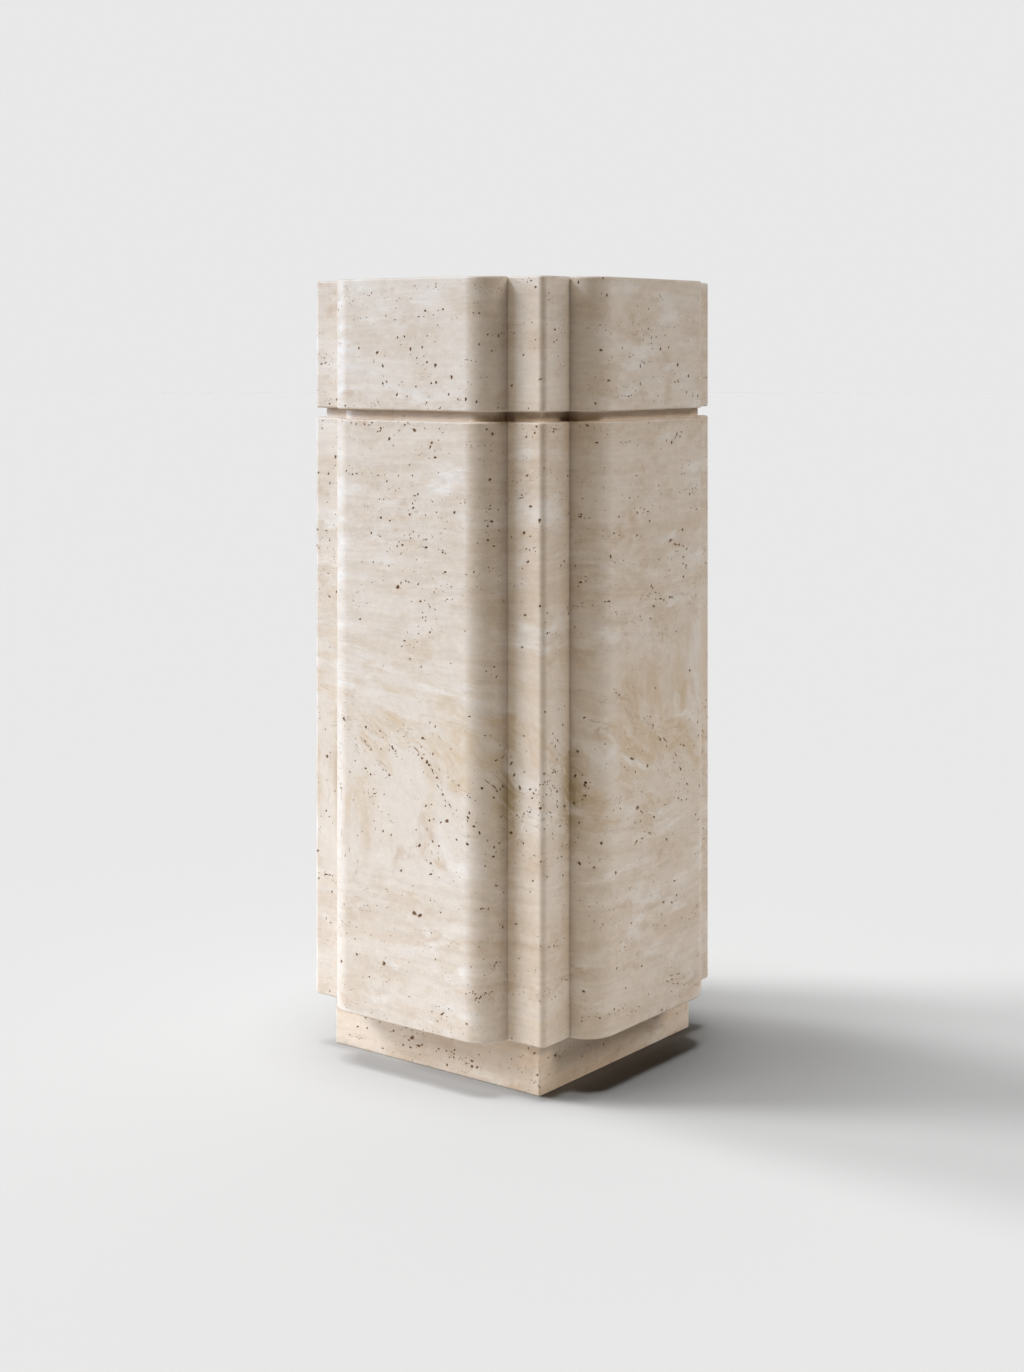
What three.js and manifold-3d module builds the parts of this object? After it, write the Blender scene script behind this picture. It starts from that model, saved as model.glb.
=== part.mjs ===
// Travertine plinth: a square base block, a tall shaft with a slab standing proud on each of its four
// sides, and a cap of the same plan above a narrow shadow gap. Millimetres, +Z up, with the origin at
// the centre of the underside.

import * as THREE from "three";
import { mergeVertices } from "three/addons/utils/BufferGeometryUtils.js";
import Module from "manifold-3d";

// Heights of the stacked blocks and of the gap
const BASE_HEIGHT = 60;
const SHAFT_HEIGHT = 680;
const GAP_HEIGHT = 11;
const CAP_HEIGHT = 149;

// Plan of the shaft and the cap
const CORNER_SQUARE = 338; // side of the square that the plain corner faces lie on
const CORNER_WIDTH = 49; // plain face from a corner to the slab beside it
const SLAB_PROJECTION = 34; // also the radius of the slab's upright edges
const CORNER_ROUNDING = 7.5;

// Set-backs from the faces of the shaft
const BASE_INSET = 18; // from the plain corner faces
const GAP_DEPTH = 10.5; // all round the outline

// Eased edges
const ARRIS = 2.5; // level edges of the shaft and the cap
const BASE_ARRIS = 1.5; // level edges of the base; its upright corners are eased twice as far
const NECK_ARRIS = 1; // upright corners of the neck, where the gap is deeper than the rounding

// How far the neck's solid reaches down into the shaft, which it is one piece with
const NECK_ROOT = 20;

// Fineness of the curves
const ROUND_STEPS = 10;
const CORNER_STEPS = 4;
const ARRIS_STEPS = 2;

const SAME_POINT = 0.001;
const QUARTER = Math.PI / 2;

const wasm = await Module();
wasm.setup();

// Points along an arc that turns anticlockwise, both ends included.
function arcPoints(x, y, radius, from, to, steps) {
  return new THREE.EllipseCurve(x, y, radius, radius, from, to).getPoints(steps);
}

// A closed outline from the points of its front side, repeated on all four sides. Points that fall on
// the one before them are dropped.
function fourSided(sidePoints) {
  const centre = new THREE.Vector2();
  const points = [];
  for (let side = 0; side < 4; side += 1) {
    for (const sidePoint of sidePoints) {
      const point = sidePoint.clone().rotateAround(centre, side * QUARTER);
      const last = points.at(-1);
      if (!last || last.distanceTo(point) > SAME_POINT) points.push(point);
    }
  }
  return points;
}

// The plan of the shaft and the cap, set back all round by an inset. The front side, where y is
// negative, runs from its left crease along the slab to the corner rounding at its right end.
function slabbedOutline(inset) {
  const cornerLine = CORNER_SQUARE / 2;
  const face = cornerLine - inset;
  const crease = cornerLine - CORNER_WIDTH - inset;
  const round = SLAB_PROJECTION - inset;
  const roundCentre = crease - round;
  const rounding = Math.max(CORNER_ROUNDING - inset, NECK_ARRIS);
  const cornerCentre = face - rounding;
  return fourSided([
    new THREE.Vector2(-crease, -face),
    ...arcPoints(-roundCentre, -cornerLine, round, 2 * QUARTER, 3 * QUARTER, ROUND_STEPS),
    ...arcPoints(roundCentre, -cornerLine, round, 3 * QUARTER, 4 * QUARTER, ROUND_STEPS),
    new THREE.Vector2(crease, -face),
    ...arcPoints(cornerCentre, -cornerCentre, rounding, 3 * QUARTER, 4 * QUARTER, CORNER_STEPS),
  ]);
}

function squareOutline(side, rounding) {
  const centre = side / 2 - rounding;
  return fourSided(arcPoints(centre, -centre, rounding, 3 * QUARTER, 4 * QUARTER, CORNER_STEPS));
}

// An upright block of the given plan standing on z = 0, with its level edges eased by the arris.
function block(outline, height, arris) {
  const geometry = new THREE.ExtrudeGeometry(new THREE.Shape(outline), {
    depth: height - 2 * arris,
    bevelEnabled: arris > 0,
    bevelThickness: arris,
    bevelSize: arris,
    bevelOffset: -arris,
    bevelSegments: ARRIS_STEPS,
  });
  return geometry.translate(0, 0, arris);
}

function toSolid(geometry) {
  geometry.deleteAttribute("normal");
  geometry.deleteAttribute("uv");
  const merged = mergeVertices(geometry, SAME_POINT);
  const mesh = new wasm.Mesh({
    numProp: 3,
    vertProperties: new Float32Array(merged.attributes.position.array),
    triVerts: new Uint32Array(merged.index.array),
  });
  return new wasm.Manifold(mesh);
}

function toGeometry(solid) {
  const mesh = solid.getMesh();
  const geometry = new THREE.BufferGeometry();
  geometry.setAttribute("position", new THREE.BufferAttribute(mesh.vertProperties, 3));
  geometry.setIndex(new THREE.BufferAttribute(mesh.triVerts, 1));
  const faceted = geometry.toNonIndexed();
  faceted.computeVertexNormals();
  return faceted;
}

function stone(color, roughness) {
  return new THREE.MeshStandardMaterial({ color, roughness, metalness: 0 });
}

// The low block that the plinth stands on.
function makeBase() {
  const side = CORNER_SQUARE - 2 * BASE_INSET;
  const rounding = 2 * BASE_ARRIS;
  const geometry = block(squareOutline(side, rounding), BASE_HEIGHT, BASE_ARRIS);
  const base = new THREE.Mesh(geometry, stone(0xcdbba6, 0.75));
  base.name = "base";
  return base;
}

// The tall block, with the recessed neck that carries the cap and leaves the shadow gap round it.
function makeShaft() {
  const body = toSolid(block(slabbedOutline(0), SHAFT_HEIGHT, ARRIS));
  const neck = block(slabbedOutline(GAP_DEPTH), GAP_HEIGHT + NECK_ROOT, 0);
  neck.translate(0, 0, SHAFT_HEIGHT - NECK_ROOT);
  const shaft = new THREE.Mesh(toGeometry(body.add(toSolid(neck))), stone(0xdccfbf, 0.7));
  shaft.name = "shaft";
  shaft.position.z = BASE_HEIGHT;
  return shaft;
}

// The top block, on the neck.
function makeCap() {
  const cap = new THREE.Mesh(block(slabbedOutline(0), CAP_HEIGHT, ARRIS), stone(0xdacdbd, 0.7));
  cap.name = "cap";
  cap.position.z = BASE_HEIGHT + SHAFT_HEIGHT + GAP_HEIGHT;
  return cap;
}

const plinth = new THREE.Group();
plinth.add(makeBase(), makeShaft(), makeCap());

export default plinth;
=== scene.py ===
"""Looks of the travertine plinth: its three blocks with their pits and eased edges as fine meshes, the stone
itself, a pale floor, studio light and the camera. Metres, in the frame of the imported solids."""

import math
import random

import bpy
import numpy as np
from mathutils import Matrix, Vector
from mathutils.geometry import delaunay_2d_cdt


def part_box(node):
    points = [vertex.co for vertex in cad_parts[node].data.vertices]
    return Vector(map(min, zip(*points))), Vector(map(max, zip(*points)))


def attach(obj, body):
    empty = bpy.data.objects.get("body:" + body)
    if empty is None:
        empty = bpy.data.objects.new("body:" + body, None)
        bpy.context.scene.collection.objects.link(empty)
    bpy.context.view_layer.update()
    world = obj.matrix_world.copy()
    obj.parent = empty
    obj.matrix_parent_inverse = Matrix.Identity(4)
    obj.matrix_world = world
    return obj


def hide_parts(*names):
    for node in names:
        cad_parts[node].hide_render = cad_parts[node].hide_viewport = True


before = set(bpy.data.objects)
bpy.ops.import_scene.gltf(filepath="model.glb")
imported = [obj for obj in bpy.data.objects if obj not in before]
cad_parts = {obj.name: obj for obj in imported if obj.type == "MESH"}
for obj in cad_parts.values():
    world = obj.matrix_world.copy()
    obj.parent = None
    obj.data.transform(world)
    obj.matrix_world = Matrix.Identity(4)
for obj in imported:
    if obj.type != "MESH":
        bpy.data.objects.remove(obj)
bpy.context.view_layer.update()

MM = 0.001
QUARTER = math.pi / 2

# Plan of the shaft and the cap, as in the solids
CORNER_LINE = 169 * MM  # from the middle to the plain corner faces
CREASE = 120 * MM  # from the middle of a side to the crease beside its slab
SLAB_ROUND = 34 * MM  # radius of the slab's upright edges, and how far it stands proud
CORNER_ROUNDING = 7.5 * MM
NECK_INSET = 10.5 * MM
NECK_ROUNDING = 1 * MM

# Plan of the base
BASE_LINE = 151 * MM
BASE_ROUNDING = 3 * MM

# Heights
BASE_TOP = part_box("base")[1].z
CAP_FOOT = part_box("cap")[0].z
CAP_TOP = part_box("cap")[1].z
SHAFT_TOP = CAP_FOOT - 11 * MM

# Eased level edges
ARRIS = 2.5 * MM
BASE_ARRIS = 1.5 * MM
ARRIS_STEPS = 4

# Fineness of the upright curves
ROUND_STEPS = 48
CORNER_STEPS = 6

# Pits
PIT_WALL = 4  # the power that makes a pit's walls steep and its bottom flat
PIT_REACH = 1.45  # how far the wavy rim can lie from the middle, as a share of the half length
PIT_WAVES = ((2, 0.16), (3, 0.18), (5, 0.09))  # waves round the rim, and how far each swings it at most
PIT_SHAPES = (0.45, 0.9)  # a scattered pit's height as a share of its length
PIT_SPREAD = 0.5  # of the pits' sizes: the deviation of their logarithm
PIT_LEAST = 0.4 * MM
PIT_MOST = 2.6  # times the usual half length
STEEPEST = 1.3  # a small pit's depth as a share of its half length
PIT_DEPTH, DEPTH_SHARE = 0.9 * MM, 0.4  # a larger pit's depth: so much, and that share of its half length
# Of the places where pits are scattered, the share with a row, and with a row or a cloud
ROW_KIND, CLOUD_KIND = 0.14, 0.24
CLOUD_SCALE = 0.75  # of the pits in a cloud, beside the others
# How a pit up to each half length is drawn: points round it, and its rings as shares of its size
PIT_KINDS = [(0.75 * MM, 6, (1,)), (1.4 * MM, 8, (1, 0.6)), (math.inf, 12, (1, 0.8, 0.5))]
BED_SPACING = 28 * MM  # of the beds that are thick with pits
SEAM_MARGIN = 4 * MM
RIM_SPACE = 5e-3  # share of a pit's depth below which a point counts as lying on its rim
WELD = 2e-3 * MM  # points this near to each other become one
WELD_SHIFTS = (0, 1 / 3, 2 / 3)  # of the grid that they are rounded to, in its own steps
PLANE_SPACE = 1e-7
NUDGE = 1e-3  # share of the way to a triangle's middle at which its corners' normals are read

# The map that the finished surface is spread on
MAP_NAME = "OFBake"
MAP_SPAN = 1.52
MAP_SPACE = 20 * MM


# Plan outlines


def straight(start, end, facing):
    """A straight run. start and end give x and y at an inset, and facing is the angle that the run faces."""

    def place(share, inset):
        (x0, y0), (x1, y1) = start(inset), end(inset)
        return x0 + share * (x1 - x0), y0 + share * (y1 - y0), np.full_like(share, facing)

    return place


def rounded(centre, radius, first, last):
    """A run on an arc. first and last give the angles of its ends at an inset."""

    def place(share, inset):
        angle = first(inset) + share * (last(inset) - first(inset))
        reach = radius - inset
        return centre[0] + reach * np.cos(angle), centre[1] + reach * np.sin(angle), angle

    return place


def turned(x, y, angle, turn):
    """Points and the angles that they face, turned about the middle of the plan."""
    return (
        x * np.cos(turn) - y * np.sin(turn),
        x * np.sin(turn) + y * np.cos(turn),
        angle + turn,
    )


class Plan:
    """The outline of a block, alike on its four sides. A place on it is the distance along it, anticlockwise
    from the left end of the rear side, and the distance that it is set back."""

    def __init__(self, runs):
        """runs are those of the front side from left to right: length, steps and place of each."""
        self.runs = runs
        self.ends = np.cumsum([length for length, _, _ in runs])
        self.side = self.ends[-1]
        self.length = 4 * self.side

    def stops(self):
        """The distances along the outline where its columns of points stand."""
        side, start = [], 0.0
        for length, steps, _ in self.runs:
            side += [start + length * i / steps for i in range(steps)]
            start += length
        return np.array([k * self.side + s for k in range(4) for s in side] + [self.length])

    def at(self, along, inset):
        """x, y and the angle that the outline faces."""
        along, inset = np.broadcast_arrays(np.asarray(along, float), np.asarray(inset, float))
        side = np.clip(np.floor(along / self.side), 0, 3)
        rest = along - side * self.side
        run = np.clip(np.searchsorted(self.ends, rest, side="right"), 0, len(self.runs) - 1)
        x, y, angle = np.zeros(along.shape), np.zeros(along.shape), np.zeros(along.shape)
        for k, (length, _, place) in enumerate(self.runs):
            here = run == k
            share = (rest[here] - (self.ends[k] - length)) / length
            x[here], y[here], angle[here] = place(share, inset[here])
        return turned(x, y, angle, (side + 2) * QUARTER)


def crease_lean(inset):
    """How far past square the slab's round runs on to meet a corner face that is set back as far as it is."""
    return np.arcsin(inset / (SLAB_ROUND - inset))


def slabbed_plan():
    middle = CREASE - SLAB_ROUND
    corner = CORNER_LINE - CORNER_ROUNDING

    def crease(inset):
        return middle + (SLAB_ROUND - inset) * np.cos(crease_lean(inset))

    def slab(inset):
        return CORNER_LINE + SLAB_ROUND - inset

    def face(inset):
        return CORNER_LINE - inset

    front = 3 * QUARTER
    arc, corner_arc = SLAB_ROUND * QUARTER, CORNER_ROUNDING * QUARTER
    left_round = rounded(
        (-middle, -CORNER_LINE), SLAB_ROUND, lambda d: math.pi - crease_lean(d), lambda d: front
    )
    right_round = rounded(
        (middle, -CORNER_LINE), SLAB_ROUND, lambda d: front, lambda d: 2 * math.pi + crease_lean(d)
    )
    slab_face = straight(lambda d: (-middle, -slab(d)), lambda d: (middle, -slab(d)), front)
    near_face = straight(lambda d: (crease(d), -face(d)), lambda d: (corner, -face(d)), front)
    rounding = rounded((corner, -corner), CORNER_ROUNDING, lambda d: front, lambda d: 2 * math.pi)
    far_face = straight(lambda d: (face(d), -corner), lambda d: (face(d), -crease(d)), 2 * math.pi)
    return Plan(
        [
            (arc, ROUND_STEPS, left_round),
            (2 * middle, 1, slab_face),
            (arc, ROUND_STEPS, right_round),
            (corner - CREASE, 1, near_face),
            (corner_arc, CORNER_STEPS, rounding),
            (corner - CREASE, 1, far_face),
        ]
    )


def square_plan(line, rounding):
    corner = line - rounding
    front = 3 * QUARTER
    face = straight(lambda d: (-corner, -(line - d)), lambda d: (corner, -(line - d)), front)
    edge = rounded((corner, -corner), rounding, lambda d: front, lambda d: 2 * math.pi)
    return Plan([(2 * corner, 1, face), (rounding * QUARTER, CORNER_STEPS, edge)])


def neck_outline():
    """The neck's corners in plan. Each slab end keeps its short straight return to the corner face."""
    face, crease = CORNER_LINE - NECK_INSET, CREASE - NECK_INSET
    reach = SLAB_ROUND - NECK_INSET
    middle = crease - reach
    corner = face - NECK_ROUNDING
    side = [(-crease, -face)]
    for centre, first in ((-middle, math.pi), (middle, 3 * QUARTER)):
        for i in range(ROUND_STEPS + 1):
            angle = first + QUARTER * i / ROUND_STEPS
            side.append((centre + reach * math.cos(angle), -CORNER_LINE + reach * math.sin(angle)))
    side.append((crease, -face))
    for i in range(CORNER_STEPS + 1):
        angle = 3 * QUARTER + QUARTER * i / CORNER_STEPS
        side.append(
            (corner + NECK_ROUNDING * math.cos(angle), -corner + NECK_ROUNDING * math.sin(angle))
        )
    x, y = np.array(side).T
    sides = [turned(x, y, 0, k * QUARTER)[:2] for k in range(4)]
    return np.concatenate([np.stack(s, 1) for s in sides])


# Upright section


class Profile:
    """The section of a block's wall from its foot to its top: arris, face and arris. A place on it is the
    distance up along it."""

    def __init__(self, low, high, arris):
        self.low, self.arris = low, arris
        self.curve = arris * QUARTER
        self.face = high - low - 2 * arris
        self.length = self.face + 2 * self.curve

    def stops(self):
        curve = [self.curve * i / ARRIS_STEPS for i in range(ARRIS_STEPS + 1)]
        return np.array(curve + [self.length - c for c in reversed(curve)])

    def at(self, up):
        """The inset, the height, and the angle above level that the wall faces."""
        below = np.clip(self.curve - up, 0, None)
        above = np.clip(up - self.curve - self.face, 0, None)
        angle = (above - below) / self.arris
        level = self.low + self.arris + np.clip(up - self.curve, 0, self.face)
        return self.arris * (1 - np.cos(angle)), level + self.arris * np.sin(angle), angle

    def up_to(self, height):
        """The distance up to a height on the face."""
        return height - self.low - self.arris + self.curve


# Pits


class Pit:
    """A small hollow, laid out on the flat surface that a wall or a top unrolls to."""

    def __init__(self, draw, centre, half_length, shape, tilt, depth):
        """shape is its height as a share of its length."""
        self.centre = np.array(centre)
        self.half = np.array([half_length, half_length * shape])
        self.turn = np.array([[math.cos(tilt), -math.sin(tilt)], [math.sin(tilt), math.cos(tilt)]])
        self.depth = depth
        self.waves = [
            (k, draw.uniform(0.3, 1) * size, draw.uniform(0, 2 * math.pi)) for k, size in PIT_WAVES
        ]
        self.reach = half_length * PIT_REACH
        _, self.count, self.shares = next(kind for kind in PIT_KINDS if half_length <= kind[0])

    def corner(self, angle):
        """How far a corner of the rim in that direction lies from the middle."""
        return 1 + sum(size * np.cos(k * angle + phase) for k, size, phase in self.waves)

    def edge(self, angle):
        """How far the rim, whose corners are joined by straight lines, lies from the middle."""
        step = 2 * math.pi / self.count
        before = np.floor(angle / step) * step
        after = before + step
        near, far = self.corner(before), self.corner(after)
        return near * far * math.sin(step) / (near * np.sin(angle - before) + far * np.sin(after - angle))

    def rings(self):
        """The rings of points that carry its shape, from its rim inwards."""
        angle = np.arange(self.count) * 2 * math.pi / self.count
        rim = np.stack([np.cos(angle), np.sin(angle)], 1) * self.corner(angle)[:, None]
        return [self.centre + (rim * s * self.half) @ self.turn.T for s in self.shares]

    def hollow(self, points):
        """How deep each point lies in the pit, as a share of the pit's depth."""
        local = (points - self.centre) @ self.turn / self.half
        far = np.hypot(*local.T) / self.edge(np.arctan2(local[:, 1], local[:, 0]))
        return np.clip(1 - far**PIT_WALL, 0, 1)


def hollows(pits, points):
    """The depth of every point and its share of its own pit's depth."""
    depth, share = np.zeros(len(points)), np.zeros(len(points))
    order = np.argsort(points[:, 0])
    sorted_x = points[order, 0]
    for pit in pits:
        first = np.searchsorted(sorted_x, pit.centre[0] - pit.reach)
        last = np.searchsorted(sorted_x, pit.centre[0] + pit.reach)
        near = order[first:last]
        near = near[np.abs(points[near, 1] - pit.centre[1]) < pit.reach]
        if len(near):
            found = pit.hollow(points[near])
            found[found < RIM_SPACE] = 0
            depth[near] = np.maximum(depth[near], found * pit.depth)
            share[near] = np.maximum(share[near], found)
    return depth, share


def usual_depth(half):
    return PIT_DEPTH + DEPTH_SHARE * half


def new_pit(draw, centre, scale, tilt):
    """A pit of about that half length: most are fine, and a few are large."""
    half = draw.lognormvariate(math.log(scale), PIT_SPREAD)
    half = min(max(half, PIT_LEAST), PIT_MOST * scale)
    depth = min(STEEPEST * half, usual_depth(half))
    return Pit(draw, centre, half, draw.uniform(*PIT_SHAPES), tilt, depth)


def moved(centre, along, aside, tilt):
    """A place so far along the bedding and across it."""
    return (
        centre[0] + along * math.cos(tilt) - aside * math.sin(tilt),
        centre[1] + along * math.sin(tilt) + aside * math.cos(tilt),
    )


def pit_row(draw, centre, count, spacing, tilt, scale):
    """Pits strung along the bedding."""
    pits, at = [], -count / 2 * spacing
    for _ in range(count):
        place = moved(centre, at, draw.gauss(0, 0.22 * spacing), tilt)
        pits.append(new_pit(draw, place, scale, tilt + draw.gauss(0, 0.4)))
        at += spacing * draw.uniform(0.5, 1.6)
    return pits


def pit_cloud(draw, centre, count, reach, tilt, scale):
    """Fine pits gathered round a place, spread twice as far along the bedding as across it."""
    pits = []
    for _ in range(count):
        place = moved(centre, draw.gauss(0, reach), draw.gauss(0, reach / 2), tilt)
        pits.append(new_pit(draw, place, scale, draw.uniform(-QUARTER, QUARTER)))
    return pits


def bed_weight(draw, height, calm):
    """A function of height: how thick with pits the stone is, from calm between its beds to 1 in them."""
    beds = [
        (draw.uniform(0, height), draw.uniform(3, 12) * MM) for _ in range(round(height / BED_SPACING))
    ]

    def weight_at(up):
        return max(calm, max(1 - abs(up - middle) / (2 * half) for middle, half in beds))

    return weight_at


def scattered_pits(draw, width, height, density, scale, tilt_at, weight_at):
    """Pits over a flat surface of that size, one by one, in rows and in clouds. density is in pits a square
    metre. tilt_at and weight_at give the bedding's slope and the share of the pits that a height keeps."""
    wanted = density * width * height
    pits = []
    while len(pits) < wanted:
        centre = (draw.uniform(0, width), draw.uniform(0, height))
        if draw.random() > weight_at(centre[1]):
            wanted -= 1
            continue
        tilt = tilt_at(centre[1]) + draw.gauss(0, 0.12)
        kind = draw.random()
        if kind < ROW_KIND:
            spacing = draw.uniform(2.5, 7) * MM
            pits += pit_row(draw, centre, draw.randint(3, 9), spacing, tilt, scale)
        elif kind < CLOUD_KIND:
            reach = draw.uniform(4, 12) * MM
            pits += pit_cloud(draw, centre, draw.randint(5, 16), reach, tilt, CLOUD_SCALE * scale)
        else:
            pits.append(new_pit(draw, centre, scale, draw.uniform(-QUARTER, QUARTER)))
    return pits


def clear_of(pits, columns, rows):
    """The pits that lie within the outermost of the given upright and level lines and keep clear of them all.
    Each line is given as its place and the room that it leaves."""
    left, right = min(columns)[0], max(columns)[0]
    low, high = min(rows)[0], max(rows)[0]
    return [
        p
        for p in pits
        if left < p.centre[0] < right
        and low < p.centre[1] < high
        and all(abs(p.centre[0] - c) > p.reach + m for c, m in columns)
        and all(abs(p.centre[1] - r) > p.reach + m for r, m in rows)
    ]


# Surfaces


def triangulated(points, edges):
    """Triangles over the points, which keep the edges. Points are added where edges cross."""
    found = delaunay_2d_cdt([Vector(p) for p in points], edges, [], 0, PLANE_SPACE)
    return np.array([tuple(v) for v in found[0]]), np.array(found[2])


def ring_edges(first, count):
    return [(first + i, first + (i + 1) % count) for i in range(count)]


def with_pits(points, edges, pits):
    """Points and edges with those of the pits added."""
    points = [tuple(p) for p in points]
    edges = list(edges)
    for pit in pits:
        for ring in pit.rings():
            edges += ring_edges(len(points), len(ring))
            points += [tuple(p) for p in ring]
        points.append(tuple(pit.centre))
    return points, edges


def welded(points):
    """Which points stay, and the number among them that each point becomes. Rounding to one grid would part
    some points that lie on two sides of a half step, so a few shifted grids are used in turn."""
    kept, becomes = np.arange(len(points)), np.arange(len(points))
    for shift in WELD_SHIFTS:
        cells = np.round(points[kept] / WELD + shift).astype(np.int64)
        _, first, same = np.unique(cells, axis=0, return_index=True, return_inverse=True)
        kept, becomes = kept[first], same.ravel()[becomes]
    return kept, becomes


class Skin:
    """A block's surface, gathered from patches, with a normal and a place on the map at every corner."""

    def __init__(self):
        self.points, self.corners, self.normals, self.map, self.hollow = [], [], [], [], []
        self.count = 0

    def add(self, points, triangles, normals, places, depth, share):
        """normals are those of the surface without its pits, one for each corner. places are the points'
        places on the map. The points go in by their depth."""
        inward = np.zeros((len(points), 3))
        inward[triangles.ravel()] = normals.reshape(-1, 3)
        points = points - inward * depth[:, None]
        normals = self.shaded(points, triangles, normals, depth)
        self.points.append(points)
        self.corners.append(triangles + self.count)
        self.normals.append(normals)
        self.map.append(places[triangles])
        self.hollow.append(share)
        self.count += len(points)

    @staticmethod
    def shaded(points, triangles, normals, depth):
        """The corner normals, with those of the pits' own faces smoothed among themselves."""
        a, b, c = (points[triangles[:, k]] for k in range(3))
        faces = np.cross(b - a, c - a)
        inside = (depth[triangles] > 0).any(1)
        summed = np.zeros_like(points)
        for k in range(3):
            np.add.at(summed, triangles[inside, k], faces[inside])
        length = np.linalg.norm(summed, axis=1, keepdims=True)
        summed = summed / np.where(length > 0, length, 1)
        normals = normals.copy()
        normals[inside] = summed[triangles[inside]]
        return normals

    def piece(self, name):
        """The whole surface as one closed mesh object."""
        points = np.concatenate(self.points)
        corners = np.concatenate(self.corners)
        normals = np.concatenate(self.normals)
        places = np.concatenate(self.map)
        hollow = np.concatenate(self.hollow)
        first, becomes = welded(points)
        corners = becomes[corners]
        whole = (corners != np.roll(corners, 1, 1)).all(1)
        mesh = bpy.data.meshes.new(name)
        mesh.from_pydata(points[first].tolist(), [], corners[whole].tolist())
        mesh.polygons.foreach_set("use_smooth", np.ones(len(mesh.polygons), bool))
        layer = mesh.uv_layers.new(name=MAP_NAME)
        layer.uv.foreach_set("vector", (places[whole] / MAP_SPAN).astype(np.float32).ravel())
        kept = mesh.attributes.new("hollow", "FLOAT", "POINT")
        kept.data.foreach_set("value", hollow[first].astype(np.float32))
        mesh.normals_split_custom_set(normals[whole].reshape(-1, 3).tolist())
        piece = bpy.data.objects.new(name, mesh)
        bpy.context.scene.collection.objects.link(piece)
        return piece


def add_wall(skin, plan, profile, pits):
    """The wall of a block, unrolled to a rectangle, triangulated there with its pits, and rolled up again."""
    stops, levels = plan.stops(), profile.stops()
    points = [(s, t) for t in levels for s in stops]
    wide = len(stops)
    edges = [(r * wide + i, r * wide + i + 1) for r in range(len(levels)) for i in range(wide - 1)]
    edges += [(r * wide + i, (r + 1) * wide + i) for r in range(len(levels) - 1) for i in range(wide)]
    flat, triangles = triangulated(*with_pits(points, edges, pits))
    inset, height, _ = profile.at(flat[:, 1])
    x, y, _ = plan.at(flat[:, 0], inset)
    corner = flat[triangles]
    read = corner + NUDGE * (corner.mean(1, keepdims=True) - corner)
    inset, _, rise = profile.at(read[..., 1])
    _, _, facing = plan.at(read[..., 0], inset)
    normals = np.stack([np.cos(facing) * np.cos(rise), np.sin(facing) * np.cos(rise), np.sin(rise)], -1)
    depth, share = hollows(pits, flat)
    skin.add(np.stack([x, y, height], 1), triangles, normals, flat, depth, share)


def within(outline, points):
    """Whether each point lies inside a closed outline."""
    inside = np.zeros(len(points), bool)
    for (x0, y0), (x1, y1) in zip(outline, np.roll(outline, -1, 0)):
        crosses = (y0 > points[:, 1]) != (y1 > points[:, 1])
        if crosses.any():
            x = x0 + (points[crosses, 1] - y0) * (x1 - x0) / (y1 - y0)
            inside[crosses] ^= points[crosses, 0] < x
    return inside


def add_level(skin, outline, height, up, corner, hole=None, pits=()):
    """A level face inside an outline, round a hole. up is 1 for a top and -1 for an underside, and corner is
    where the middle of the face lies on the map."""
    points, edges = [tuple(p) for p in outline], ring_edges(0, len(outline))
    if hole is not None:
        edges += ring_edges(len(points), len(hole))
        points += [tuple(p) for p in hole]
    flat, triangles = triangulated(*with_pits(points, edges, pits))
    middles = flat[triangles].mean(1)
    kept = within(outline, middles)
    if hole is not None:
        kept &= ~within(hole, middles)
    triangles = triangles[kept]
    if up < 0:
        triangles = triangles[:, ::-1]
    depth, share = hollows(pits, flat)
    normals = np.zeros((len(triangles), 3, 3))
    normals[..., 2] = up
    solid = np.column_stack([flat, np.full(len(flat), height)])
    places = flat * (1, up) + corner
    skin.add(solid, triangles, normals, places, depth, share)


def add_band(skin, outline, low, high, corner):
    """An upright band round an outline, with a crisp edge wherever the outline turns."""
    ahead = np.roll(outline, -1, 0)
    step = ahead - outline
    length = np.linalg.norm(step, axis=1)
    along = np.concatenate([[0], np.cumsum(length)])
    points, triangles, normals, places = [], [], [], []
    for i in range(len(outline)):
        if length[i] < PLANE_SPACE:
            continue
        k = len(points)
        points += [(*outline[i], low), (*ahead[i], low), (*ahead[i], high), (*outline[i], high)]
        triangles += [(k, k + 1, k + 2), (k, k + 2, k + 3)]
        facing = (step[i, 1] / length[i], -step[i, 0] / length[i], 0)
        normals += [[facing] * 3] * 2
        places += [(along[i], 0), (along[i + 1], 0), (along[i + 1], high - low), (along[i], high - low)]
    none = np.zeros(len(points))
    skin.add(
        np.array(points), np.array(triangles), np.array(normals), np.array(places) + corner, none, none
    )


# The three blocks

SLABBED = slabbed_plan()
SQUARE = square_plan(BASE_LINE, BASE_ROUNDING)

# The scattered pits of each block: how many a square metre, their usual half length, and the share of them
# that stays between the pitted beds
BASE_PITTING = (4200, 0.95 * MM, 0.5)
SHAFT_PITTING = (8000, 0.88 * MM, 0.4)
CAP_PITTING = (6500, 0.85 * MM, 0.5)
TOP_PITTING = (3000, 0.9 * MM)

# Rows of larger pits on the base: how many, the pits' spacing and half length, and where up its face
BASE_ROWS, BASE_ROW_SPACING, BASE_ROW_HALF = 26, 9 * MM, 1.3 * MM
BASE_ROW_HEIGHTS = (0.25, 0.85)

CREASE_ROOM = 0.2 * MM  # that pits leave beside a crease

# Where the stone of the shaft is folded, and which way its bedding runs there
FOLD_LOW, FOLD_HIGH = 0.27, 0.45
FOLD_TILT = math.radians(-38)


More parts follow.
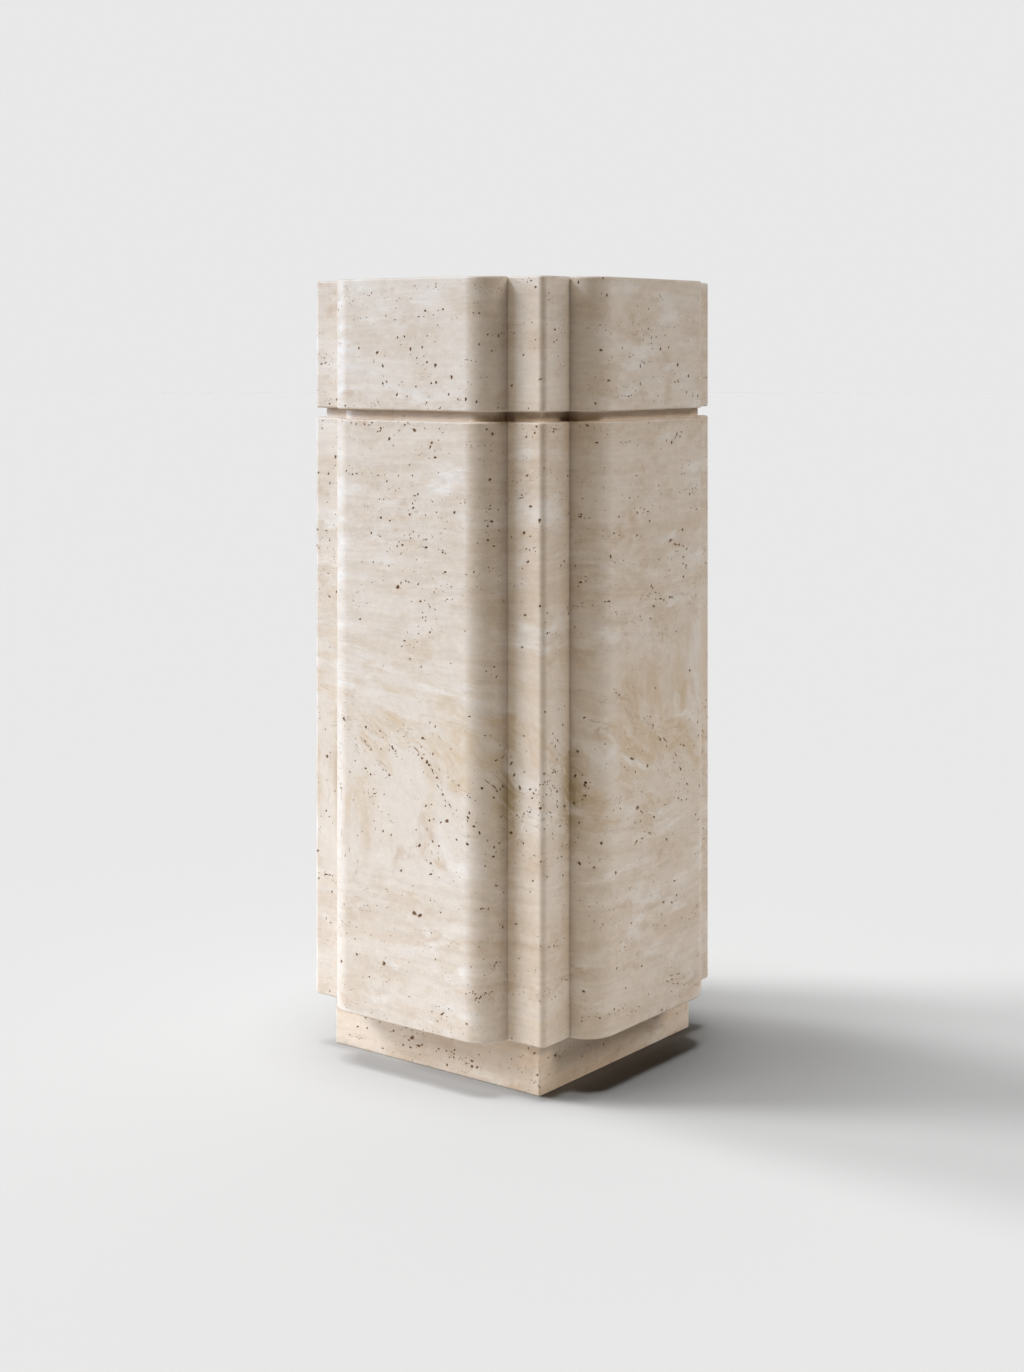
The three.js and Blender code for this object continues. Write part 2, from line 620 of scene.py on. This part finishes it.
def slab_middle(side):
    """The distance along the outline to the middle of a side's slab. Side 0 is the rear, and 2 the front."""
    return side * SLABBED.side + SLAB_ROUND * QUARTER + (CREASE - SLAB_ROUND)


def crease_lines():
    """The creases of the outline and its seam, which pits keep clear of, with the room that they leave."""
    lines = [(0, SEAM_MARGIN), (SLABBED.length, SEAM_MARGIN)]
    slab = 2 * SLAB_ROUND * QUARTER + 2 * (CREASE - SLAB_ROUND)
    for side in range(4):
        start = side * SLABBED.side
        lines += [(start, CREASE_ROOM), (start + slab, CREASE_ROOM)]
    return lines


def shaft_tilt(profile):
    def tilt_at(up):
        height = profile.at(np.array(up))[1]
        return FOLD_TILT if FOLD_LOW < height < FOLD_HIGH else 0.0

    return tilt_at


# How thick with pits the shaft is beside its beds' own share, up to each height
SHAFT_ZONES = ((0.26, 0.6), (0.40, 1.4), (0.50, 0.22), (1.0, 1.0))

# The share of its pits that each side keeps: rear, left, front and right. The hidden two are plainer
SIDE_SHARES = (0.5, 0.5, 0.75, 1.0)


def shaft_weight(draw, profile, calm):
    """Pitted beds, thickest in the fold, with a calm band above it that has few pits."""
    bedded = bed_weight(draw, profile.length, calm)

    def weight_at(up):
        height = profile.at(np.array(up))[1]
        return bedded(up) * next(share for top, share in SHAFT_ZONES if height < top)

    return weight_at


def thinned(draw, pits):
    """The pits that are left when each side keeps its share."""
    sides = [round((p.centre[0] - slab_middle(0)) / SLABBED.side) % 4 for p in pits]
    return [p for p, side in zip(pits, sides) if draw.random() < SIDE_SHARES[side]]


# Rows of larger pits that show on the faces of the slabs: across and height of their middle, spacing, tilt in
# degrees, how many, and half length of a pit, in millimetres
SHAFT_ROWS = [
    (41, 717, 4.5, 60, 3, 1.2),
    (53, 724, 4.0, 60, 3, 1.1),
    (112, 716, 5.0, 20, 3, 1.0),
    (-34, 609, 5.0, 0, 2, 1.3),
    (33, 599, 6.0, 0, 2, 1.2),
    (-4, 550, 6.0, -10, 2, 1.1),
    (10, 376, 7.0, -38, 7, 1.1),
    (48, 340, 6.5, -58, 8, 1.3),
    (-44, 358, 6.0, -30, 4, 1.1),
    (-30, 299, 6.0, -20, 3, 1.3),
    (62, 297, 6.0, 0, 3, 1.2),
    (108, 290, 8.0, -50, 6, 1.6),
    (128, 232, 9.0, -80, 4, 1.7),
    (44, 208, 6.0, 0, 2, 1.3),
    (20, 188, 5.0, 0, 2, 1.5),
    (-32, 126, 6.0, 0, 2, 1.3),
    (58, 88, 5.0, 30, 2, 1.5),
]

# Slits in the fold: across and height of their middle, tilt in degrees, and half length in millimetres
SHAFT_SLITS = [
    (18, 373, -38, 5.5),
    (41, 352, -56, 4.5),
    (49, 336, -48, 3.5),
    (113, 347, -40, 4.0),
    (121, 341, -45, 5.0),
    (132, 373, 30, 3.5),
    (133, 341, -8, 3.0),
]
SLIT_SHAPE = 0.16
SLIT_DEPTH = 1.1 * MM

# Larger pits that show on the faces of the cap: across and height, tilt in degrees, and half length
CAP_PITS = [
    (-68, 821, 80, 1.7),
    (-32, 801, 100, 2.3),
    (-32, 781, 90, 1.9),
    (-10, 833, 90, 1.6),
    (0, 834, 80, 1.6),
    (9, 820, 90, 2.4),
    (26, 822, 85, 1.7),
    (45, 802, 60, 2.7),
    (68, 789, 105, 2.5),
    (39, 782, 50, 1.6),
    (46, 783, 90, 2.1),
    (4, 767, 90, 1.4),
    (64, 770, 60, 1.9),
    (77, 765, 90, 1.5),
    (88, 765, 90, 2.3),
    (101, 762, 90, 1.9),
    (104, 825, 60, 1.6),
    (118, 818, 90, 1.5),
]

# Larger pits in and beside the creases next to the front corner: side, across, height, tilt and half length
CREASE_PITS = [
    (2, 144, 365, 60, 2.6),
    (2, 148, 353, 70, 2.4),
    (2, 156, 340, -60, 2.8),
    (2, 162, 358, 0, 1.4),
    (2, 170, 340, 20, 1.8),
    (2, 175, 336, -30, 1.8),
    (2, 178, 340, 80, 1.5),
    (2, 173, 331, 10, 1.5),
    (2, 159, 494, -20, 1.8),
    (2, 144, 289, 0, 2.6),
    (2, 161, 280, -40, 1.6),
    (2, 123, 370, 40, 1.8),
    (2, 107, 340, -45, 2.0),
    (2, 90, 278, -20, 2.3),
    (2, 98, 298, 0, 1.9),
    (2, 120, 265, 0, 1.8),
    (3, -167, 386, 80, 1.9),
    (3, -163, 319, 80, 1.8),
    (3, -153, 407, 30, 2.0),
    (3, -163, 263, 0, 1.5),
    (3, -155, 263, 0, 1.6),
    (3, -133, 350, 60, 2.2),
    (3, -121, 343, -30, 2.3),
    (3, -130, 377, -30, 2.0),
    (3, -128, 254, -50, 2.4),
]
CREASE_DEPTH = 3 * MM
PLACED_SHAPE = 0.65

# The sides that the placed pits are on, and how far they are shifted there along and half as far up: the
# front and the right side show the same pattern
PLACED_SIDES = ((2, 0), (3, 0), (0, 17), (1, -23))


def placed(profile, side, shift, across, height):
    """Where a place given in millimetres from the middle of the slab lies on the unrolled wall."""
    return slab_middle(side) + (across + shift) * MM, profile.up_to((height + shift / 2) * MM)


def placed_rows(draw, profile):
    pits = []
    for side, shift in PLACED_SIDES:
        for across, height, spacing, tilt, count, half in SHAFT_ROWS:
            centre = placed(profile, side, shift, across, height)
            pits += pit_row(draw, centre, count, spacing * MM, math.radians(tilt), half * MM)
    return pits


def placed_pit(draw, profile, side, shift, place, shape, depth=None):
    across, height, tilt, half = place
    centre = placed(profile, side, shift, across, height)
    depth = usual_depth(half * MM) if depth is None else depth
    return Pit(draw, centre, half * MM, shape, math.radians(tilt), depth)


def placed_pits(draw, profile, places, shape, depth=None):
    return [
        placed_pit(draw, profile, side, shift, place, shape, depth)
        for side, shift in PLACED_SIDES
        for place in places
    ]


def crease_pits(draw, profile):
    return [
        placed_pit(draw, profile, side, 0, place, PLACED_SHAPE, CREASE_DEPTH)
        for side, *place in CREASE_PITS
    ]


def level_pits(draw, line, density, scale):
    """Pits over a level face that reaches line from the middle each way."""
    found = scattered_pits(draw, 2 * line, 2 * line, density, scale, lambda _: 0.0, lambda _: 1.0)
    for pit in found:
        pit.centre -= line
    return clear_of(found, [(-line, 0), (line, 0)], [(-line, 0), (line, 0)])


def outline_at(plan, inset):
    x, y, _ = plan.at(plan.stops()[:-1], inset)
    return np.stack([x, y], 1)


def map_slot(profile, number, half):
    """The middle on the map of a level face, in the row of squares above the wall."""
    across = MAP_SPACE / 2 + half + number * (2 * half + MAP_SPACE)
    return np.array([across, profile.length + MAP_SPACE + half])


def walled(plan, profile, pits, lines):
    """A skin that holds a block's wall. Its pits keep clear of the upright lines."""
    skin = Skin()
    add_wall(skin, plan, profile, clear_of(pits, lines, [(0, 0), (profile.length, 0)]))
    return skin


def make_base():
    draw = random.Random(31)
    profile = Profile(0.0, BASE_TOP, BASE_ARRIS)
    width, height = SQUARE.length, profile.length
    density, scale, calm = BASE_PITTING
    weight_at = bed_weight(draw, height, calm)
    found = scattered_pits(draw, width, height, density, scale, lambda _: 0.0, weight_at)
    for _ in range(BASE_ROWS):
        centre = (draw.uniform(0, width), draw.uniform(*BASE_ROW_HEIGHTS) * height)
        count, tilt = draw.randint(2, 5), draw.gauss(0, 0.08)
        found += pit_row(draw, centre, count, BASE_ROW_SPACING, tilt, BASE_ROW_HALF)
    skin = walled(SQUARE, profile, found, [(0, SEAM_MARGIN), (SQUARE.length, SEAM_MARGIN)])
    outline = outline_at(SQUARE, BASE_ARRIS)
    add_level(skin, outline, 0.0, -1, map_slot(profile, 0, BASE_LINE))
    add_level(skin, outline, BASE_TOP, 1, map_slot(profile, 1, BASE_LINE))
    return skin.piece("base_block")


def make_shaft():
    draw = random.Random(72)
    profile = Profile(BASE_TOP, SHAFT_TOP, ARRIS)
    width, height = SLABBED.length, profile.length
    density, scale, calm = SHAFT_PITTING
    weight_at = shaft_weight(draw, profile, calm)
    tilt_at = shaft_tilt(profile)
    found = thinned(draw, scattered_pits(draw, width, height, density, scale, tilt_at, weight_at))
    found += placed_rows(draw, profile)
    found += placed_pits(draw, profile, SHAFT_SLITS, SLIT_SHAPE, SLIT_DEPTH)
    found += crease_pits(draw, profile)
    skin = walled(SLABBED, profile, found, crease_lines())
    outline = outline_at(SLABBED, ARRIS)
    neck = neck_outline()
    half = CORNER_LINE + SLAB_ROUND
    add_level(skin, outline, BASE_TOP, -1, map_slot(profile, 0, half))
    add_level(skin, outline, SHAFT_TOP, 1, map_slot(profile, 1, half), hole=neck)
    add_level(skin, neck, CAP_FOOT, 1, map_slot(profile, 2, half))
    above = profile.length + 2 * (half + MAP_SPACE)
    add_band(skin, neck, SHAFT_TOP, CAP_FOOT, np.array([0, above]))
    return skin.piece("shaft_block")


def make_cap():
    draw = random.Random(58)
    profile = Profile(CAP_FOOT, CAP_TOP, ARRIS)
    width, height = SLABBED.length, profile.length
    density, scale, calm = CAP_PITTING
    weight_at = bed_weight(draw, height, calm)
    found = scattered_pits(draw, width, height, density, scale, lambda _: 0.0, weight_at)
    found = thinned(draw, found) + placed_pits(draw, profile, CAP_PITS, PLACED_SHAPE)
    skin = walled(SLABBED, profile, found, crease_lines())
    outline = outline_at(SLABBED, ARRIS)
    half = CORNER_LINE + SLAB_ROUND
    add_level(skin, outline, CAP_FOOT, -1, map_slot(profile, 0, half))
    top_pits = level_pits(draw, CORNER_LINE - CORNER_ROUNDING, *TOP_PITTING)
    add_level(skin, outline, CAP_TOP, 1, map_slot(profile, 1, half), pits=top_pits)
    return skin.piece("cap_block")


# Stone

# The waves of the bedding: how many a metre
SWING, CURL, RIPPLE = 7.0, 17.0, 55.0
RIPPLE_REACH = 6 * MM  # how far the fine ones swing

# How many times a metre each pattern of the stone changes along x, y and z
PATTERNS = {
    "bands": (2.2, 2.2, 24.0),
    "patches": (14.0, 14.0, 22.0),
    "mottle": (60.0, 60.0, 110.0),
    "rust": (13.0, 13.0, 26.0),
    "wisps": (16.0, 16.0, 44.0),
    "clouds": (7.0, 7.0, 16.0),
    "lines": (11.0, 11.0, 230.0),
    "veins": (4.0, 4.0, 26.0),
    "clumps": (16.0, 16.0, 60.0),
}
BREAKS, UNEVEN, GRAIN = 45.0, 110.0, 420.0  # the same for those that don't follow the bedding
SPECKS, SPECK_FLATTENING = 230.0, 1.4  # the cells that hold a speck each, and how many more of them upright

VEIN_WIDTH = 0.008  # in the values of its pattern
SPECK_SIZE, SPECK_STRENGTH = 0.34, 0.75
CALM_REACH = 0.07  # how far in height the band with few specks reaches each way

# The painted shade in the creases, a brown darkening: its middle height, its reach up and down, and its reach
# from the crease
SHADE_MIDDLE, SHADE_REACH, SHADE_WIDTH = 0.33, 0.09, 26 * MM
SHADE_FULL = 2 * MM  # from the crease to where it starts to fade


class Nodes:
    """A material's node tree, with the few kinds of node that the stone is made of."""

    def __init__(self, material):
        self.tree = material.node_tree
        self.tree.nodes.clear()

    def add(self, kind, inputs, **settings):
        node = self.tree.nodes.new(kind)
        for name, value in settings.items():
            setattr(node, name, value)
        for key, value in inputs.items():
            if isinstance(value, bpy.types.NodeSocket):
                self.tree.links.new(value, node.inputs[key])
            else:
                node.inputs[key].default_value = value
        return node

    def math(self, operation, *values):
        node = self.add("ShaderNodeMath", dict(enumerate(values)), operation=operation)
        return node.outputs[0]

    def times(self, a, b):
        return self.math("MULTIPLY", a, b)

    def vector(self, operation, *values):
        node = self.add("ShaderNodeVectorMath", dict(enumerate(values)), operation=operation)
        return node.outputs[0]

    def scaled(self, vector, size):
        node = self.add("ShaderNodeVectorMath", {0: vector, "Scale": size}, operation="SCALE")
        return node.outputs[0]

    def noise(self, place, scale, detail=4.0, roughness=0.5, output="Fac"):
        inputs = {"Vector": place, "Scale": scale, "Detail": detail, "Roughness": roughness}
        return self.add("ShaderNodeTexNoise", inputs).outputs[output]

    def between(self, value, low, high):
        """0 up to low, 1 from high, and smooth between."""
        inputs = {"Value": value, "From Min": low, "From Max": high}
        node = self.add("ShaderNodeMapRange", inputs, interpolation_type="SMOOTHSTEP")
        return node.outputs["Result"]

    def bump_over(self, value, middle, half):
        """1 at the middle, falling smoothly to 0 at half away."""
        away = self.math("ABSOLUTE", self.math("SUBTRACT", value, middle))
        return self.between(away, half, 0.0)

    def mixed(self, share, first, second):
        node = self.add("ShaderNodeMix", {0: share, 6: first, 7: second}, data_type="RGBA")
        return node.outputs[2]


def rgb(red, green, blue):
    return (red, green, blue, 1.0)


def pattern(nodes, bed, kind, detail, roughness):
    """A noise pattern that follows the bedding."""
    return nodes.noise(nodes.vector("MULTIPLY", bed, PATTERNS[kind]), 1.0, detail, roughness)


def waves(nodes, place, count):
    """A vector that swings either way, that many times a metre."""
    noise = nodes.noise(place, count, 2.0, output="Color")
    return nodes.vector("SUBTRACT", noise, (0.5, 0.5, 0.5))


def bedding(nodes, look, frame_place, place, folded):
    """The place in the bedding, which waves a little everywhere, and where it is folded curls and runs down
    to the right."""
    strength = nodes.math("MULTIPLY_ADD", folded, look["fold_size"], look["wave"])
    curl = nodes.times(folded, look["curl"])
    bed = nodes.vector("ADD", place, nodes.scaled(waves(nodes, place, SWING), strength))
    bed = nodes.vector("ADD", bed, nodes.scaled(waves(nodes, place, RIPPLE), RIPPLE_REACH))
    bed = nodes.vector("ADD", bed, nodes.scaled(waves(nodes, place, CURL), curl))
    across = nodes.add("ShaderNodeVectorMath", {0: frame_place, 1: (1, 1, 0)}, operation="DOT_PRODUCT")
    slope = nodes.times(folded, look["fold_slope"])
    lift = nodes.times(slope, across.outputs["Value"])
    return nodes.vector("ADD", bed, nodes.scaled((0.0, 0.0, 1.0), lift))


def ground_colour(nodes, look, bed, folded, mottle):
    """Cream with tan bands, which fade out in the fold, mottled tan patches, and brown flecks in patches of
    their own."""
    bands = nodes.between(pattern(nodes, bed, "bands", 6.0, 0.6), 0.44, 0.68)
    banded = nodes.times(bands, nodes.math("MULTIPLY_ADD", folded, -0.7, 1.0))
    patches = nodes.between(pattern(nodes, bed, "patches", 6.0, 0.6), 0.44, 0.64)
    tan = nodes.math("MAXIMUM", banded, patches)
    tan = nodes.times(tan, nodes.between(mottle, 0.18, 0.58))
    colour = nodes.mixed(tan, look["cream"], nodes.mixed(folded, look["tan"], look["fold_tan"]))
    rust = nodes.between(pattern(nodes, bed, "rust", 5.0, 0.6), 0.50, 0.72)
    rust = nodes.times(rust, nodes.between(mottle, 0.42, 0.7))
    return nodes.mixed(nodes.times(rust, look["rusty"]), colour, look["rust"])


def crease_painted_shade(nodes, frame_place, height, mottle):
    """The share of the painted shade, a brown darkening that lies in the creases over part of the height."""
    plan = nodes.add("ShaderNodeSeparateXYZ", {0: nodes.vector("ABSOLUTE", frame_place)}).outputs
    wide = nodes.math("SUBTRACT", nodes.math("MAXIMUM", plan["X"], plan["Y"]), CORNER_LINE)
    narrow = nodes.math("SUBTRACT", nodes.math("MINIMUM", plan["X"], plan["Y"]), CREASE)
    off = nodes.math("MAXIMUM", nodes.math("ABSOLUTE", wide), nodes.math("ABSOLUTE", narrow))
    near = nodes.between(off, SHADE_WIDTH, SHADE_FULL)
    crease_shade = nodes.times(near, nodes.bump_over(height, SHADE_MIDDLE, SHADE_REACH))
    return nodes.times(crease_shade, nodes.between(mottle, 0.25, 0.55))


def whitish(nodes, bed):
    """The share of the whitish wisps, which gather in clouds."""
    wisps = nodes.between(pattern(nodes, bed, "wisps", 6.0, 0.62), 0.46, 0.68)
    clouds = nodes.between(pattern(nodes, bed, "clouds", 4.0, 0.5), 0.38, 0.60)
    return nodes.times(wisps, clouds)


def veined(nodes, look, bed, place, folded):
    """The share of the fine broken veins, most of them where the stone is folded."""
    field = pattern(nodes, bed, "veins", 4.0, 0.55)
    broken = nodes.between(nodes.noise(place, BREAKS, 4.0, 0.6), 0.46, 0.60)
    vein = nodes.times(nodes.bump_over(field, 0.5, VEIN_WIDTH), broken)
    return nodes.times(vein, nodes.math("MULTIPLY_ADD", folded, 0.5, look["veins"]))


def specked(nodes, look, bed, height):
    """The share of the specks finer than the modelled pits, in clumps along the bedding."""
    flattened = nodes.vector("MULTIPLY", bed, (1.0, 1.0, SPECK_FLATTENING))
    cells = nodes.add("ShaderNodeTexVoronoi", {"Vector": flattened, "Scale": SPECKS})
    chance = nodes.add("ShaderNodeSeparateColor", {0: cells.outputs["Color"]}).outputs[0]
    clump = nodes.between(pattern(nodes, bed, "clumps", 4.0, 0.65), 0.38, 0.62)
    calm = nodes.bump_over(height, look["calm"], CALM_REACH)
    clump = nodes.times(clump, nodes.math("MULTIPLY_ADD", calm, -0.8, 1.0))
    size = nodes.times(nodes.between(chance, 0.25, 1.0), clump)
    size = nodes.times(size, SPECK_SIZE)
    return nodes.between(nodes.math("SUBTRACT", cells.outputs["Distance"], size), 0.0, -0.1)


def toned(nodes, bed, folded, grain, uneven):
    """How light the stone is beside its colour: the grain, its unevenness, and thin lines of the bedding that
    are weaker in the fold."""
    lines = nodes.math("SUBTRACT", pattern(nodes, bed, "lines", 4.0, 0.65), 0.5)
    lines = nodes.times(lines, nodes.math("MULTIPLY_ADD", folded, -0.6, 1.0))
    tone = nodes.math("MULTIPLY_ADD", grain, 0.16, nodes.times(lines, 0.26))
    return nodes.math("ADD", nodes.math("MULTIPLY_ADD", uneven, 0.24, tone), 0.82)


def travertine(name, look):
    """Honed, unfilled travertine: level bedding in cream and tan, whitish wisps, fine brown veins where the
    stone is folded, fine specks, and browner pits."""
    material = bpy.data.materials.new(name)
    material.use_nodes = True
    nodes = Nodes(material)
    frame_place = nodes.add("ShaderNodeTexCoord", {}).outputs["Object"]
    height = nodes.add("ShaderNodeSeparateXYZ", {0: frame_place}).outputs["Z"]
    place = nodes.vector("ADD", frame_place, look["offset"])
    folded = nodes.bump_over(height, look["fold"], look["fold_reach"])
    bed = bedding(nodes, look, frame_place, place, folded)
    mottle = pattern(nodes, bed, "mottle", 5.0, 0.65)
    grain = nodes.noise(place, GRAIN, 3.0, 0.6)
    uneven = nodes.noise(place, UNEVEN, 5.0, 0.7)
    speck = specked(nodes, look, bed, height)
    hollow = nodes.add("ShaderNodeAttribute", {}, attribute_name="hollow").outputs["Fac"]
    pit = nodes.between(hollow, 0.0, 0.9)

    colour = ground_colour(nodes, look, bed, folded, mottle)
    # Painted shade: a brown darkening in the creases over part of the height
    colour = nodes.mixed(crease_painted_shade(nodes, frame_place, height, mottle), colour, look["crease_shade"])
    colour = nodes.mixed(whitish(nodes, bed), colour, look["white"])
    colour = nodes.mixed(veined(nodes, look, bed, place, folded), colour, look["brown"])
    colour = nodes.mixed(nodes.times(speck, SPECK_STRENGTH), colour, look["brown"])
    colour = nodes.scaled(colour, toned(nodes, bed, folded, grain, uneven))
    colour = nodes.mixed(pit, colour, look["pit"])

    # Honed all over, and rough in the pits and specks
    rough = nodes.times(nodes.math("MAXIMUM", pit, speck), 0.9)
    roughness = nodes.math("MAXIMUM", nodes.math("MULTIPLY_ADD", uneven, 0.22, 0.44), rough)

    relief = nodes.math("MULTIPLY_ADD", grain, 0.25, nodes.times(uneven, 0.6))
    relief = nodes.math("SUBTRACT", relief, speck)
    bump = nodes.add("ShaderNodeBump", {"Height": relief, "Strength": 0.5, "Distance": 0.25 * MM})
    shader = nodes.add(
        "ShaderNodeBsdfPrincipled",
        {"Base Color": colour, "Roughness": roughness, "Normal": bump.outputs[0]},
    )
    nodes.add("ShaderNodeOutputMaterial", {"Surface": shader.outputs[0]})
    return material


# The stone of each block: where the fold and the calm band lie in height, how strong the fold is, and the
# colours
SHAFT_STONE = {
    "offset": (3.1, 1.7, 0.4),
    "fold": 0.37,
    "fold_reach": 0.16,
    "fold_size": 0.05,
    "fold_slope": 0.35,
    "curl": 0.05,
    "calm": 0.45,
    "wave": 0.022,
    "veins": 0.05,
    "rusty": 0.7,
    "cream": rgb(0.735, 0.63, 0.52),
    "tan": rgb(0.655, 0.525, 0.395),
    "fold_tan": rgb(0.65, 0.495, 0.33),
    "white": rgb(0.80, 0.72, 0.63),
    "brown": rgb(0.37, 0.25, 0.15),
    "rust": rgb(0.54, 0.37, 0.23),
    "pit": rgb(0.34, 0.21, 0.12),
    # The brown of the painted shade in the creases
    "crease_shade": rgb(0.47, 0.35, 0.19),
}
CAP_STONE = {**SHAFT_STONE, "offset": (7.3, 4.2, 2.9)}
# Lighter colours than the shaft's: painted light that makes up for the shade which the shaft's overhang casts
# on the base
BASE_STONE = {
    **SHAFT_STONE,
    "offset": (11.9, 6.4, 5.3),
    "veins": 0.2,
    "cream": rgb(0.79, 0.65, 0.51),
    "tan": rgb(0.70, 0.53, 0.37),
    "white": rgb(0.84, 0.74, 0.61),
}


# Studio

CAMERA_TURN = math.radians(37.474)  # from the front side towards the right one

BACKGROUND = 0.81  # the pale grey of the floor and of what lies behind it
FLOOR_NEAR = 1.9  # radius of the floor that throws light back at the plinth
FLOOR_FAR = 40.0
FLOOR_TONE = 0.3  # of the floor's own colour
DISC_STEPS = 128

# The photograph's height, focal length and level line in pixels, and where the camera stands: away from the
# plinth's middle, aside and up
FRAME_LONG, FOCAL, HORIZON = 1372, 2119.44, 351.6
AWAY, ASIDE, EYE_HEIGHT = 2.5354, 0.0029, 0.8171
SENSOR = 36

# The lights of the stone: turn about the plinth, anticlockwise from the camera, rise above level and spread,
# in degrees, and the power in red, green and blue
STONE_LIGHTS = {
    "key": (276, 38, 20, (2.03, 2.30, 2.70)),
    "key_low": (264, 12, 20, (0.95, 0.78, 0.64)),
    "key_behind": (252, 12, 20, (0.60, 1.16, 1.90)),
    "key_front": (312, 38, 20, (0.64, 0.56, 0.45)),
    "fill": (96, 38, 20, (0.60, 0.72, 0.92)),
    "fill_low": (108, 12, 20, (0.36, 0.35, 0.34)),
    "front": (72, 38, 20, (1.02, 0.92, 0.79)),
}
# Those of the floor, with one power each, which are scaled together until the floor is as light as it has to be
FLOOR_LIGHTS = {
    "floor_low": (240, 7, 16, 14.36),
    "floor_left": (264, 33, 16, 3.79),
    "floor_high": (270, 74, 16, 1.73),
    "floor_above": (0, 88, 16, 2.36),
    "floor_behind": (180, 55, 60, 0.87),
}


def disc(name, inner, outer, material):
    """A flat ring, or a whole disc where inner is 0, on the ground."""
    angle = np.arange(DISC_STEPS) * 2 * math.pi / DISC_STEPS
    circle = np.stack([np.cos(angle), np.sin(angle), np.zeros(DISC_STEPS)], 1)
    if inner:
        points = np.concatenate([circle * inner, circle * outer])
        ahead = [(i + 1) % DISC_STEPS for i in range(DISC_STEPS)]
        faces = [(i, DISC_STEPS + i, DISC_STEPS + k, k) for i, k in enumerate(ahead)]
    else:
        points, faces = circle * outer, [tuple(range(DISC_STEPS))]
    mesh = bpy.data.meshes.new(name)
    mesh.from_pydata(points.tolist(), [], faces)
    mesh.materials.append(material)
    made = bpy.data.objects.new(name, mesh)
    bpy.context.scene.collection.objects.link(made)
    return made


def make_floor():
    material = bpy.data.materials.new("floor")
    material.use_nodes = True
    nodes = Nodes(material)
    shader = nodes.add("ShaderNodeBsdfDiffuse", {"Color": rgb(FLOOR_TONE, FLOOR_TONE, FLOOR_TONE)})
    nodes.add("ShaderNodeOutputMaterial", {"Surface": shader.outputs[0]})
    near = disc("floor_near", 0.0, FLOOR_NEAR, material)
    far = disc("floor_far", FLOOR_NEAR, FLOOR_FAR, material)
    far.visible_diffuse = far.visible_glossy = False
    return [near, far]


def make_sun(name, turn, rise, spread, light, receivers):
    """A distant soft light that only the receivers take. light is the power on a face square to it."""
    lamp = bpy.data.lights.new(name, "SUN")
    lamp.angle = math.radians(spread)
    lamp.energy = max(light)
    lamp.color = [c / max(light) for c in light]
    sun = bpy.data.objects.new(name, lamp)
    bpy.context.scene.collection.objects.link(sun)
    angle = CAMERA_TURN + math.radians(turn) - QUARTER
    level = math.cos(math.radians(rise))
    towards = Vector((level * math.cos(angle), level * math.sin(angle), math.sin(math.radians(rise))))
    sun.rotation_euler = towards.to_track_quat("Z", "Y").to_euler()
    sun.light_linking.receiver_collection = receivers


def group(name, members):
    made = bpy.data.collections.new(name)
    for member in members:
        made.objects.link(member)
    return made


def make_lights(blocks, floors):
    stone, ground = group("stone_receivers", blocks), group("floor_receivers", floors)
    for name, (turn, rise, spread, light) in STONE_LIGHTS.items():
        make_sun(name, turn, rise, spread, light, stone)
    reached = sum(power * math.sin(math.radians(rise)) for _, rise, _, power in FLOOR_LIGHTS.values())
    scale = BACKGROUND * math.pi / FLOOR_TONE / reached
    for name, (turn, rise, spread, power) in FLOOR_LIGHTS.items():
        make_sun(name, turn, rise, spread, (power * scale,) * 3, ground)


def make_world():
    """An even background that shows to the camera and lights nothing."""
    world = bpy.data.worlds.new("studio")
    world.use_nodes = True
    nodes = Nodes(world)
    seen = nodes.add("ShaderNodeLightPath", {}).outputs["Is Camera Ray"]
    strength = nodes.times(seen, BACKGROUND)
    light = nodes.add("ShaderNodeBackground", {"Color": rgb(1, 1, 1), "Strength": strength})
    nodes.add("ShaderNodeOutputWorld", {"Surface": light.outputs[0]})
    bpy.context.scene.world = world


def make_camera():
    """The camera of the photograph: level, turned to the plinth's corner, with the frame dropped below it."""
    turn = CAMERA_TURN
    data = bpy.data.cameras.new("camera")
    data.sensor_width = SENSOR
    data.lens = SENSOR * FOCAL / FRAME_LONG
    data.shift_y = -(FRAME_LONG / 2 - HORIZON) / FRAME_LONG
    camera = bpy.data.objects.new("camera", data)
    camera.location = (
        AWAY * math.sin(turn) - ASIDE * math.cos(turn),
        -AWAY * math.cos(turn) - ASIDE * math.sin(turn),
        EYE_HEIGHT,
    )
    camera.rotation_euler = (QUARTER, 0, turn)
    bpy.context.scene.collection.objects.link(camera)
    bpy.context.scene.camera = camera


def dress(piece, node, stone):
    """Puts a block's fine mesh in the place of its plain solid."""
    piece.data.materials.append(stone)
    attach(piece, "root")
    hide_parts(node)
    return piece


blocks = [
    dress(make_base(), "base", travertine("base_stone", BASE_STONE)),
    dress(make_shaft(), "shaft", travertine("shaft_stone", SHAFT_STONE)),
    dress(make_cap(), "cap", travertine("cap_stone", CAP_STONE)),
]
make_lights(blocks, make_floor())
make_world()
make_camera()
bpy.context.scene.view_settings.view_transform = "Standard"
